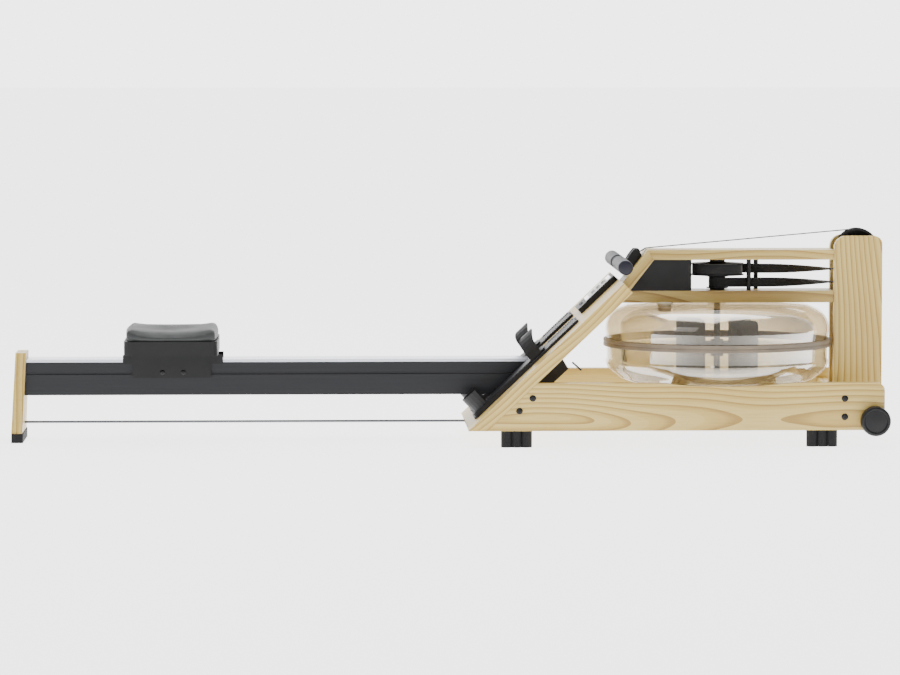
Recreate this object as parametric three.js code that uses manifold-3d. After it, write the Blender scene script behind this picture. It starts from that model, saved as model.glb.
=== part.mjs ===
// Water-resistance rowing machine, in millimetres, +Z up.
// Origin: on the floor, under the middle of the machine. +X points to the water tank, the rower sits towards -X
// and faces +X, and the rower's right side is -Y. Right and left in the names are the rower's.
import * as THREE from 'three';
import { mergeVertices } from 'three/addons/utils/BufferGeometryUtils.js';
import Module from 'manifold-3d';

// ---- Fits -----------------------------------------------------------------------------------------------------
const GAP = 0.3;                 // between pieces that touch
const RUN = 0.5;                 // between pieces that turn or slide on each other

// ---- Overall --------------------------------------------------------------------------------------------------
const LENGTH = 2132;             // leg to posts
const TANK_D = 560;              // clamp band of the tank, the widest piece
const FRAME_W = 500;             // over the two base rails, and the footboard

// ---- Base -----------------------------------------------------------------------------------------------------
const FOOT_H = 40;
const BASE_H = 115;              // height of a base rail
const BASE_T = 28;
const BASE_SHORT = 17;           // the base rails end this much behind the front of the posts
const FOOT_L = 75;
const FOOT_W = 28;
const WHEEL_R = 36;
const WHEEL_W = 29;
const WHEEL_Z = 63;
const WHEEL_BACK = 41;           // wheel centre behind the front of the posts
const WHEEL_AXLE_R = 6;
const BATTEN_T = 36;
const BATTEN_L = 80;

// ---- Posts, pulleys -------------------------------------------------------------------------------------------
const POST_W = 118;
const POST_T = 22;
const POST_SPAN = 110;           // over the outer faces of the pair
const POST_TOP = 500;
const BLOCK_T = 28;              // front cross block
const BLOCK_Z0 = 55;
const BLOCK_Z1 = 130;
const PULLEY_R = 48;             // bottom of the strap groove
const PULLEY_RIM = 52;
const RECOIL_R = 25;
const RECOIL_RIM = 29;
const PULLEY_SET = 61;           // pulley centres in front of the posts' rear faces
const PIN_R = 6;                 // axles of both pulleys
const PULLEY_Z = 466;

// ---- Tank -----------------------------------------------------------------------------------------------------
const TANK_GAP = 3;              // clamp band to posts
const TANK_WALL = 4;
const TANK_FLOOR = 132;
const BAND_Z0 = 229;
const BAND_Z1 = 247;
const TANK_TOP = 335;
const SHAFT_R = 8;
const BLADE_R0 = 46;
const BLADE_R1 = 130;
const BLADE_Z0 = 148;
const BLADE_Z1 = 294;
const BLADE_T = 3;
const TANK_SIDES = 36;           // facets round the shells and the band
const PLUG_R = 16;
const PLUG_OUT = 170;            // filler plug from the tank's axis

// ---- Decks, neck, footboard -----------------------------------------------------------------------------------
const DECK_W = 104;
const MID_T = 29;
const TOP_T = 24;
const DECK_CLEAR = 76;           // between the decks
const NECK_T = 27;
const NECK_SLOPE = THREE.MathUtils.degToRad(52.2);
const SLOPE = THREE.MathUtils.degToRad(43.6);
const BOARD_T = 31;
const BOARD_RISE = 30;           // footboard's upper edge above the mid deck
const BOARD_TANK_GAP = 89;       // footboard's back to the clamp band, level

// ---- Drum and straps ------------------------------------------------------------------------------------------
const DRUM_R = 62;
const DRUM_RIM = 66;
const SMALL_R = 20;
const SMALL_RIM = 27;
const HUB_R = 18.5;
const STRAP_W = 23;
const STRAP_T = 1.6;
const GUIDE_R = 5.5;
const BUNGEE_R = 5;
const BUNGEE_Z = 86;

// ---- Monorail, leg --------------------------------------------------------------------------------------------
const RAIL_W = 96;
const RAIL_Z0 = 113;
const RAIL_H = 80;
const RAIL_WALL = 4;
const GROOVE_Z0 = 163;
const GROOVE_Z1 = 170;
const GROOVE_DEPTH = 6;
const TRACK_W = RAIL_W - 2;
const TRACK_T = 7;
const LEG_T = 26;
const LEG_TOP = 217;
const LEG_LEAN = 9;              // the leg's top stands this much in front of its foot
const LEG_W_TOP = RAIL_W + 10;
const LEG_W_FOOT = 184;
const LEG_CAP_H = 22;
const TIE_R = 3;
const TIE_Z = 43.5;

// ---- Seat -----------------------------------------------------------------------------------------------------
const SEAT_X = -676;             // middle of the pad at rest
const SEAT_L = 238;
const SEAT_W = 300;
const PAD_TOP = 279;
const PAD_DIP = 9;
const PAD_Z0 = 250.3;
const SHELL_Z0 = 215;
const SHELL_WALL = 5;
const SHELL_INSET = 5;
const CARRIAGE_W = RAIL_W + 24;
const CARRIAGE_T = 5;
const SKIRT_Z0 = 156;
const SKIRT_L = 192;
const TAB_Z0 = 190;
const ROLLER_R = 14;
const ROLLER_AXLE_R = 4;
const ROLLER_W = 16;
const ROLLER_SPAN = SEAT_L - 48;

// ---- Handle, monitor, foot stretchers -------------------------------------------------------------------------
const HANDLE_L = 480;
const GRIP_R = 18;
const GRIP_L = 200;
const BAR_R = 12;
const BAR_HUB_R = 15;
const HANDLE_UP = 37;            // handle above the footboard's upper edge
const HANDLE_ON = 5;             // and in front of it
const REST_W = 56;
const MONITOR_L = 122;
const MONITOR_W = 120;
const MONITOR_T = 13.5;
const BUTTON_R = 5.5;
const BUTTON_PITCH = 26;
const PLATE_L = 347;
const PLATE_W = 106;
const PLATE_T = 6;
const PLATE_UP = 86;             // lower end of a base plate along the slope
const PLATE_Y = RAIL_W / 2 + 5 + PLATE_W / 2;
const HEEL_L = 238;
const HEEL_W = 80;
const HEEL_T = 5;
const CUP_H = 46;
const CUP_T = 5;
const STRAP_ARCH = 56;
const WEB_W = 34;
const WEB_T = 3;
const WEB_UP = 300;

// ---- Colours --------------------------------------------------------------------------------------------------
const MATERIALS = {
  ash: [0xd3bd88, 0.55, 0], darkAsh: [0x9a7e4c, 0.6, 0], anodised: [0x36373c, 0.4, 0.8],
  track: [0xc7c9d6, 0.3, 0.9], steel: [0x8e9094, 0.35, 1], rubber: [0x3d3d3d, 0.9, 0],
  plastic: [0x2b2b2f, 0.5, 0], clear: [0xcfc2af, 0.1, 0], band: [0x7f7665, 0.5, 0], blade: [0x70706d, 0.4, 0],
  web: [0x202024, 0.8, 0], grey: [0x9a9a9c, 0.8, 0], pad: [0x8a8e8d, 0.7, 0], shell: [0x2c2b30, 0.6, 0],
  stretcher: [0x47464b, 0.6, 0], navy: [0x353648, 0.5, 0],
};

// ---- Places worked out from the sizes above -------------------------------------------------------------------
const postFront = LENGTH / 2;
const postRear = postFront - POST_W;
const bandR = TANK_D / 2;
const tankX = postRear - TANK_GAP - bandR;
const baseFront = postFront - BASE_SHORT;
const baseTop = FOOT_H + BASE_H;
const railIn = FRAME_W / 2 - BASE_T;
const midBottom = TANK_TOP + 2;
const midTop = midBottom + MID_T;
const topBottom = midTop + DECK_CLEAR;
const topTop = topBottom + TOP_T;
const boardEndZ = midTop + BOARD_RISE;
const bandMid = (BAND_Z0 + BAND_Z1) / 2;
const boardX0 = tankX - bandR - BOARD_TANK_GAP - BOARD_T / Math.sin(SLOPE) - bandMid / Math.tan(SLOPE);
const pulleyX = postRear + PULLEY_SET;
const strapOff = GAP + STRAP_T / 2;
const driveZ = PULLEY_Z - PULLEY_R - strapOff;
const recoilZ = driveZ - STRAP_W - 9;
const recoilPulleyZ = recoilZ - RECOIL_R - strapOff;
const railTop = RAIL_Z0 + RAIL_H;
const trackTop = railTop + GAP + TRACK_T;
const wheelX = postFront - WHEEL_BACK;
const blockX = postRear + 3;

// X of the plane that lies h above the footboard's top surface (h < 0 is inside or behind the board).
const slopeX = (z, h) => boardX0 + z / Math.tan(SLOPE) - h / Math.sin(SLOPE);
// Distance up the slope of the point that lies h above that surface at height z.
const upSlope = (z, h) => (z - h * Math.cos(SLOPE)) / Math.sin(SLOPE);
// X of the leg's front face, which leans.
const legFront = (z) => -postFront + LEG_T + LEG_LEAN * (z - LEG_CAP_H) / (LEG_TOP - LEG_CAP_H);

// ---- Solids ---------------------------------------------------------------------------------------------------
const wasm = await Module();
wasm.setup();

// One closed mesh that shares its vertices, has no empty triangles and faces out.
function weld(geometry) {
  const bare = geometry.clone();
  bare.deleteAttribute('normal');
  bare.deleteAttribute('uv');
  const merged = mergeVertices(bare, 1e-3);
  const p = merged.attributes.position;
  const kept = [];
  let volume = 0;
  const [a, b, c] = [new THREE.Vector3(), new THREE.Vector3(), new THREE.Vector3()];
  for (let i = 0; i < merged.index.count; i += 3) {
    const ids = [0, 1, 2].map((k) => merged.index.getX(i + k));
    if (new Set(ids).size < 3) continue;
    [a, b, c].forEach((v, k) => v.fromBufferAttribute(p, ids[k]));
    volume += a.dot(b.cross(c));
    kept.push(ids);
  }
  if (volume < 0) kept.forEach((ids) => ids.reverse());
  merged.setIndex(kept.flat());
  return merged;
}

function toSolid(geometry) {
  const welded = weld(geometry);
  const vertProperties = new Float32Array(welded.attributes.position.array);
  const triVerts = new Uint32Array(welded.index.array);
  return new wasm.Manifold(new wasm.Mesh({ numProp: 3, vertProperties, triVerts }));
}

function fromSolid(solid) {
  const mesh = solid.getMesh();
  const geometry = new THREE.BufferGeometry();
  geometry.setAttribute('position', new THREE.BufferAttribute(new Float32Array(mesh.vertProperties), 3));
  geometry.setIndex(new THREE.BufferAttribute(new Uint32Array(mesh.triVerts), 1));
  return geometry;
}

const cut = (body, ...tools) => fromSolid(tools.reduce((s, t) => s.subtract(toSolid(t)), toSolid(body)));
const join = (first, ...rest) => fromSolid(rest.reduce((s, t) => s.add(toSolid(t)), toSolid(first)));

function box(x0, x1, y0, y1, z0, z1) {
  const geometry = new THREE.BoxGeometry(x1 - x0, y1 - y0, z1 - z0);
  return geometry.translate((x0 + x1) / 2, (y0 + y1) / 2, (z0 + z1) / 2);
}

const outline = (points) => new THREE.Shape(points.map(([x, y]) => new THREE.Vector2(x, y)));

function extrude(shape, depth, curveSegments = 6) {
  return new THREE.ExtrudeGeometry(shape, { depth, bevelEnabled: false, curveSegments });
}

// Side outline in X and Z, from y0 to y1.
const sidePlate = (shape, y0, y1) => extrude(shape, y1 - y0).rotateX(Math.PI / 2).translate(0, y1, 0);

// Plan outline in X and Y, from z0 to z1.
const planPlate = (shape, z0, z1) => extrude(shape, z1 - z0).translate(0, 0, z0);

// End outline in Y and Z, from x0 to x1.
function endPlate(shape, x0, x1) {
  const turn = new THREE.Matrix4().makeBasis(
    new THREE.Vector3(0, 1, 0), new THREE.Vector3(0, 0, 1), new THREE.Vector3(1, 0, 0));
  return extrude(shape, x1 - x0).applyMatrix4(turn).translate(x0, 0, 0);
}

// Body of revolution about Y (turned = false) or Z, from a profile of [radius, height] points.
function revolve(profile, segments, upright = false) {
  const points = profile.map(([r, h]) => new THREE.Vector2(r, h));
  const geometry = weld(new THREE.LatheGeometry(points, segments));
  return upright ? geometry.rotateX(Math.PI / 2) : geometry;
}

const closed = (profile) => [...profile, profile[0]];

function rodY(r, y0, y1, x, z, segments = 20) {
  const geometry = new THREE.CylinderGeometry(r, r, y1 - y0, segments);
  return geometry.translate(x, (y0 + y1) / 2, z);
}

function rodZ(r, x, y, z0, z1, segments = 20) {
  const geometry = new THREE.CylinderGeometry(r, r, z1 - z0, segments);
  return geometry.rotateX(Math.PI / 2).translate(x, y, (z0 + z1) / 2);
}

function rodX(r, x0, x1, y, z, segments = 16) {
  const geometry = new THREE.CylinderGeometry(r, r, x1 - x0, segments);
  return geometry.rotateZ(Math.PI / 2).translate((x0 + x1) / 2, y, z);
}

function roundedBox(x0, x1, y0, y1, r) {
  const shape = new THREE.Shape();
  shape.absarc(x1 - r, y1 - r, r, 0, Math.PI / 2);
  shape.absarc(x0 + r, y1 - r, r, Math.PI / 2, Math.PI);
  shape.absarc(x0 + r, y0 + r, r, Math.PI, 1.5 * Math.PI);
  shape.absarc(x1 - r, y0 + r, r, 1.5 * Math.PI, 2 * Math.PI);
  return shape;
}

// Flat strap through stations of [point, width direction].
function ribbon(stations, width, thickness) {
  const positions = [];
  const points = stations.map(([p]) => new THREE.Vector3(...p));
  stations.forEach(([, across], i) => {
    const before = points[Math.max(i - 1, 0)];
    const after = points[Math.min(i + 1, points.length - 1)];
    const along = after.clone().sub(before).normalize();
    const side = new THREE.Vector3(...across).addScaledVector(along, -along.dot(new THREE.Vector3(...across)));
    side.normalize().multiplyScalar(width / 2);
    const up = along.clone().cross(side).normalize().multiplyScalar(thickness / 2);
    for (const [s, u] of [[1, 1], [-1, 1], [-1, -1], [1, -1]]) {
      positions.push(...points[i].clone().addScaledVector(side, s).addScaledVector(up, u).toArray());
    }
  });
  const index = [0, 1, 2, 0, 2, 3];
  for (let i = 0; i + 1 < stations.length; i += 1) {
    for (let k = 0; k < 4; k += 1) {
      const [a, b] = [4 * i + k, 4 * i + (k + 1) % 4];
      index.push(a, a + 4, b + 4, a, b + 4, b);
    }
  }
  const end = 4 * (stations.length - 1);
  index.push(end, end + 2, end + 1, end, end + 3, end + 2);
  const geometry = new THREE.BufferGeometry();
  geometry.setAttribute('position', new THREE.Float32BufferAttribute(positions, 3));
  geometry.setIndex(index);
  return weld(geometry);
}

// Where the line through p along d meets the line through q along e, in X and Z.
function meet(p, d, q, e) {
  const t = ((q[0] - p[0]) * e[1] - (q[1] - p[1]) * e[0]) / (d[0] * e[1] - d[1] * e[0]);
  return [p[0] + t * d[0], p[1] + t * d[1]];
}

// Point at radius r and an angle about a centre, in X and Z.
const around = (x, z, r, angle) => [x + r * Math.cos(angle), z + r * Math.sin(angle)];

// ---- The machine ----------------------------------------------------------------------------------------------
const machine = new THREE.Group();
const slope = new THREE.Group();     // X up the footboard, Z out of its top surface
slope.position.set(boardX0, 0, 0);
slope.rotation.y = -SLOPE;
machine.add(slope);

function add(parent, name, geometry, look) {
  const [color, roughness, metalness] = MATERIALS[look];
  const mesh = new THREE.Mesh(geometry, new THREE.MeshStandardMaterial({ color, roughness, metalness }));
  mesh.name = name;
  parent.add(mesh);
}

const SIDES = [['right', -1], ['left', 1]];
const span = (side, inner, outer) => (side < 0 ? [-outer, -inner] : [inner, outer]);

// ---- Base rails, cross members, feet, wheels ------------------------------------------------------------------
const bowl = [
  [bandR - 80, TANK_FLOOR + 2], [bandR - 74, TANK_FLOOR + 6], [bandR - 45, TANK_FLOOR + 14],
  [bandR - 31, TANK_FLOOR + 25], [bandR - 14, TANK_FLOOR + 40], [bandR - 6, TANK_FLOOR + 56],
];

function baseRails() {
  const scoop = Math.min(200, bandR - 60);
  const shape = new THREE.Shape();
  shape.moveTo(slopeX(FOOT_H, -BOARD_T - GAP), FOOT_H);
  shape.lineTo(baseFront, FOOT_H);
  shape.absarc(baseFront - 20, baseTop - 20, 20, 0, Math.PI / 2);
  shape.lineTo(tankX + scoop, baseTop);
  shape.bezierCurveTo(tankX + scoop - 70, baseTop, tankX + scoop - 90, baseTop - 9, tankX, baseTop - 9);
  shape.bezierCurveTo(tankX - scoop + 90, baseTop - 9, tankX - scoop + 70, baseTop, tankX - scoop, baseTop);
  shape.lineTo(slopeX(baseTop, -BOARD_T - GAP), baseTop);
  shape.holes.push(new THREE.Path().absarc(wheelX, WHEEL_Z, WHEEL_AXLE_R + GAP, 0, 2 * Math.PI, true));
  const clear = [[0, TANK_FLOOR - 2], ...bowl.map(([r, z]) => [r + 3, z - 2]), [bandR - 3, baseTop + 40],
    [0, baseTop + 40]];
  const room = revolve(clear, 64, true).translate(tankX, 0, 0);
  for (const [side, sign] of SIDES) {
    const [y0, y1] = span(sign, railIn, FRAME_W / 2);
    add(machine, `${side}_base_rail`, cut(sidePlate(shape, y0, y1), room), 'ash');
  }
}

function crossMembers() {
  const inner = railIn - GAP;
  const batten = box(upSlope(baseTop, -BOARD_T) - 95, upSlope(baseTop, -BOARD_T) - 95 + BATTEN_L,
    -inner, inner, -BOARD_T - GAP - BATTEN_T, -BOARD_T - GAP);
  add(slope, 'board_batten', batten, 'ash');
  const [b0, b1] = [blockX + 14 - BLOCK_T, blockX + 14];
  const block = box(b0, b1, -inner, inner, BLOCK_Z0, BLOCK_Z1);
  const bungeeHole = rodX(BUNGEE_R + 4, b0 - 1, b1 + 1, 0, BUNGEE_Z);
  add(machine, 'front_cross_block', cut(block, bungeeHole), 'ash');
  for (const [place, sign] of [['rear', -1], ['front', 1]]) {
    const x = tankX + sign * (bandR - 165);
    const bearer = box(x - 22, x + 22, -inner, inner, TANK_FLOOR - GAP - 22, TANK_FLOOR - GAP);
    add(machine, `${place}_tank_bearer`, bearer, 'ash');
  }
}

function feet() {
  const lobe = FOOT_W / 2;
  const pitch = (FOOT_L - FOOT_W) / 2;
  const half = Math.acos(pitch / 2 / lobe);
  const shape = new THREE.Shape();
  shape.absarc(pitch, 0, lobe, half - Math.PI, Math.PI - half);
  shape.absarc(0, 0, lobe, half, Math.PI - half);
  shape.absarc(-pitch, 0, lobe, half, 2 * Math.PI - half);
  shape.absarc(0, 0, lobe, half - Math.PI, -half);
  const places = [['rear', slopeX(FOOT_H, -BOARD_T) + 71], ['front', baseFront - 151]];
  for (const [place, x] of places) {
    for (const [side, sign] of SIDES) {
      const foot = planPlate(shape, 0, FOOT_H - GAP).translate(x, sign * (FRAME_W - BASE_T) / 2, 0);
      add(machine, `${place}_${side}_foot`, foot, 'rubber');
    }
  }
}

function wheels() {
  const y0 = FRAME_W / 2 + RUN;
  const y1 = y0 + WHEEL_W;
  const bore = WHEEL_AXLE_R + GAP;
  for (const [side, sign] of SIDES) {
    const profile = [[0, y1], [WHEEL_R - 7, y1], [WHEEL_R - 6, y1 - 1.5], [WHEEL_R - 4, y1 - 1.5],
      [WHEEL_R, y1 - 5], [WHEEL_R, y0 + 4], [WHEEL_R - 3, y0], [bore, y0], [bore, y1 - 5], [0, y1 - 5]];
    const wheel = revolve(profile.map(([r, y]) => [r, sign * y]), 28).translate(wheelX, 0, WHEEL_Z);
    add(machine, `${side}_wheel`, wheel, 'navy');
  }
  const reach = y1 - 5 - RUN;
  add(machine, 'wheel_axle', rodY(WHEEL_AXLE_R, -reach, reach, wheelX, WHEEL_Z), 'steel');
}

// ---- Posts with the two pulleys -------------------------------------------------------------------------------
function posts() {
  const shape = new THREE.Shape();
  const bottom = WHEEL_Z + WHEEL_AXLE_R + 11;
  shape.moveTo(blockX + 14 + GAP, bottom);
  shape.lineTo(postFront, bottom);
  shape.absarc(postFront - 20, POST_TOP - 20, 20, 0, Math.PI / 2);
  shape.absarc(postRear + 30, POST_TOP - 30, 30, Math.PI / 2, Math.PI);
  shape.lineTo(postRear, BLOCK_Z1 + GAP);
  shape.lineTo(blockX + 14 + GAP, BLOCK_Z1 + GAP);
  const outer = POST_SPAN / 2;
  const pinEnd = outer - 7;
  const holes = [PULLEY_Z, recoilPulleyZ].map((z) => rodY(PIN_R + GAP, -pinEnd, pinEnd, pulleyX, z));
  for (const [side, sign] of SIDES) {
    const [y0, y1] = span(sign, outer - POST_T, outer);
    add(machine, `${side}_post`, cut(sidePlate(shape, y0, y1), ...holes), 'ash');
  }
  const room = outer - POST_T - 1;
  const pulleys = [['top', PULLEY_Z, PULLEY_R, PULLEY_RIM], ['recoil', recoilPulleyZ, RECOIL_R, RECOIL_RIM]];
  for (const [place, z, r, rim] of pulleys) {
    const half = STRAP_W / 2 + 1.5;
    const profile = closed([[PIN_R + GAP, -room], [PIN_R + 6, -room], [PIN_R + 6, -half - 3], [rim, -half - 3],
      [rim, -half], [r, -half], [r, half], [rim, half], [rim, half + 3], [PIN_R + 6, half + 3],
      [PIN_R + 6, room], [PIN_R + GAP, room]]);
    add(machine, `${place}_pulley`, revolve(profile, 28).translate(pulleyX, 0, z), 'plastic');
    const pin = rodY(PIN_R, -pinEnd + GAP, pinEnd - GAP, pulleyX, z);
    add(machine, `${place}_pulley_axle`, pin, 'steel');
  }
}

// ---- Footboard, neck, decks -----------------------------------------------------------------------------------
const boardEnd = upSlope(boardEndZ, 0);
const endDir = [Math.sin(SLOPE), -Math.cos(SLOPE)];
const endPoint = [slopeX(boardEndZ, 0) + GAP * Math.cos(SLOPE), boardEndZ + GAP * Math.sin(SLOPE)];
const neckDir = [Math.cos(NECK_SLOPE), Math.sin(NECK_SLOPE)];
const neckLow = meet(endPoint, endDir, [0, midTop + GAP], [1, 0]);
const neckUnder = meet(neckLow, neckDir, [0, topBottom], [1, 0]);
const neckFace = [neckLow[0] - NECK_T * Math.sin(NECK_SLOPE), neckLow[1] + NECK_T * Math.cos(NECK_SLOPE)];
const neckStart = meet(neckFace, neckDir, endPoint, endDir);
const neckTop = meet(neckFace, neckDir, [0, topTop], [1, 0]);

function frameTop() {
  const toe = (h) => [upSlope(FOOT_H, h), h];
  const boardShape = outline([toe(0), toe(-BOARD_T), [boardEnd, -BOARD_T], [boardEnd, 0]]);
  add(slope, 'footboard', sidePlate(boardShape, -FRAME_W / 2, FRAME_W / 2), 'ash');
  const neck = outline([neckStart, neckLow, neckUnder, neckTop]);
  add(machine, 'neck', sidePlate(neck, -POST_SPAN / 2, POST_SPAN / 2), 'ash');
  const top = outline([[neckTop[0] + GAP + 0.1, topTop], [neckUnder[0] + GAP + 0.1, topBottom],
    [postRear - GAP, topBottom], [postRear - GAP, topTop]]);
  add(machine, 'top_deck', sidePlate(top, -DECK_W / 2, DECK_W / 2), 'ash');
  const back = -BOARD_T - GAP;
  const mid = outline([[slopeX(midBottom, back), midBottom], [postRear - GAP, midBottom],
    [postRear - GAP, midTop], [slopeX(midTop, back), midTop]]);
  const bore = rodZ(SHAFT_R + 6, tankX, 0, midBottom - 1, midTop + 1);
  add(machine, 'mid_deck', cut(sidePlate(mid, -DECK_W / 2, DECK_W / 2), bore), 'darkAsh');
  const front = tankX - DRUM_RIM - 2;
  const wall = 3;
  const low = midTop + GAP;
  const high = topBottom - GAP;
  const underX = (z) => neckLow[0] + 1 + (z - neckLow[1]) / Math.tan(NECK_SLOPE);
  const outer = outline([[underX(low), low], [front, low], [front, high], [underX(high), high]]);
  const inner = outline([[underX(low) + 3 * wall, low + wall], [front + 1, low + wall], [front + 1, high - wall],
    [underX(high) + 2 * wall, high - wall]]);
  const half = DECK_W / 2 - 2;
  const cover = cut(sidePlate(outer, -half, half), sidePlate(inner, wall - half, half - wall));
  add(machine, 'strap_cover', cover, 'plastic');
}

// ---- Tank, paddle ---------------------------------------------------------------------------------------------
// Inner side of a thin wall whose outer side is this profile, going outwards along it.
function offset(profile, wall) {
  const points = profile.map(([r, z]) => new THREE.Vector2(r, z));
  return points.map((p, i) => {
    const along = points[Math.min(i + 1, points.length - 1)].clone().sub(points[Math.max(i - 1, 0)]).normalize();
    return [Math.max(p.x - along.y * wall, 0), p.y + along.x * wall];
  });
}

function tank() {
  const neck = bandR - 7.5;
  const lip = bandR - 3.3;
  const seam = bandMid;
  const outerLow = [[0, TANK_FLOOR], ...bowl, [bandR - 6, TANK_FLOOR + 70], [neck, BAND_Z0 - 4]];
  const innerLow = offset(outerLow, TANK_WALL).reverse();
  innerLow[innerLow.length - 1][0] = 0;
  const low = [...outerLow, [neck, BAND_Z0 + 2.3], [lip, BAND_Z0 + 2.3], [lip, seam - 0.2],
    [neck - TANK_WALL, seam - 0.2], ...innerLow];
  add(machine, 'tank_lower', revolve(low, TANK_SIDES, true).translate(tankX, 0, 0), 'clear');

  const shoulder = new THREE.Path();
  shoulder.moveTo(neck, BAND_Z1 + 3);
  shoulder.quadraticCurveTo(bandR - 3, TANK_TOP - 55, bandR - 14, TANK_TOP - 33);
  shoulder.quadraticCurveTo(bandR - 24, TANK_TOP - 13, bandR - 56, TANK_TOP - 6);
  shoulder.quadraticCurveTo(bandR - 130, TANK_TOP, SHAFT_R + 14, TANK_TOP);
  const outerHigh = shoulder.getPoints(3).map((p) => [p.x, p.y]);
  const innerHigh = offset(outerHigh, TANK_WALL).reverse();
  const high = closed([[neck - TANK_WALL, seam + 0.2], [lip, seam + 0.2], [lip, BAND_Z1 - 2.3],
    [neck, BAND_Z1 - 2.3], ...outerHigh, ...innerHigh]);
  const dome = revolve(high, TANK_SIDES, true).translate(tankX, 0, 0);
  const plugAngle = -0.8 * Math.PI;
  const [px, py] = [tankX + PLUG_OUT * Math.cos(plugAngle), PLUG_OUT * Math.sin(plugAngle)];
  const hole = rodZ(PLUG_R + RUN, px, py, TANK_TOP - 20, TANK_TOP + 5);
  add(machine, 'tank_upper', cut(dome, hole), 'clear');
  const plug = revolve([[0, TANK_TOP - 16], [PLUG_R, TANK_TOP - 16], [PLUG_R, TANK_TOP + RUN],
    [PLUG_R + 4, TANK_TOP + RUN], [PLUG_R + 4, TANK_TOP + 4], [PLUG_R, TANK_TOP + 6], [0, TANK_TOP + 6]], 24, true);
  add(machine, 'tank_plug', plug.translate(px, py, 0), 'plastic');

  const grip = bandR - 7;
  const band = closed([[grip, BAND_Z0], [bandR, BAND_Z0], [bandR, BAND_Z1], [grip, BAND_Z1], [grip, BAND_Z1 - 2],
    [bandR - 3, BAND_Z1 - 2], [bandR - 3, BAND_Z0 + 2], [grip, BAND_Z0 + 2]]);
  add(machine, 'tank_band', revolve(band, TANK_SIDES, true).translate(tankX, 0, 0), 'band');
}

function paddle() {
  const shape = new THREE.Shape();
  const r = 12;
  shape.moveTo(0, BLADE_Z0 + 60);
  shape.lineTo(BLADE_R0, BLADE_Z0 + 60);
  shape.absarc(BLADE_R0 + r, BLADE_Z0 + r, r, Math.PI, 1.5 * Math.PI);
  shape.absarc(BLADE_R1 - r, BLADE_Z0 + r, r, -0.5 * Math.PI, 0);
  shape.absarc(BLADE_R1 - r, BLADE_Z1 - r, r, 0, 0.5 * Math.PI);
  shape.absarc(BLADE_R0 + r, BLADE_Z1 - r, r, 0.5 * Math.PI, Math.PI);
  shape.lineTo(BLADE_R0, BLADE_Z0 + 90);
  shape.lineTo(0, BLADE_Z0 + 90);
  const blades = [1, 3, 5, 7].map((k) => sidePlate(shape, -BLADE_T / 2, BLADE_T / 2).rotateZ(k * Math.PI / 4));
  const shaft = rodZ(SHAFT_R, 0, 0, BLADE_Z0, topBottom - 12);
  const hub = rodZ(SHAFT_R + 8, 0, 0, BLADE_Z0 + 54, BLADE_Z0 + 96);
  add(machine, 'paddle', join(shaft, hub, ...blades).translate(tankX, 0, 0), 'blade');
}

// ---- Drum, guide pins, straps, bungee -------------------------------------------------------------------------
function drum() {
  const bore = SHAFT_R + GAP;
  const bottom = midTop + GAP;
  const top = topBottom - GAP;
  const [d0, d1] = [driveZ - STRAP_W / 2 - 1, driveZ + STRAP_W / 2 + 1];
  const [s0, s1] = [recoilZ - STRAP_W / 2 - 1, recoilZ + STRAP_W / 2 + 1];
  const profile = closed([[bore, bottom], [HUB_R, bottom], [HUB_R, s0 - 2], [SMALL_RIM, s0 - 2], [SMALL_RIM, s0],
    [SMALL_R, s0], [SMALL_R, s1], [DRUM_RIM, d0 - 2], [DRUM_RIM, d0], [DRUM_R, d0], [DRUM_R, d1], [DRUM_RIM, d1],
    [DRUM_RIM, d1 + 2], [HUB_R, d1 + 2], [HUB_R, top], [bore, top]]);
  add(machine, 'strap_drum', revolve(profile, 28, true).translate(tankX, 0, 0), 'plastic');
}

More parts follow.
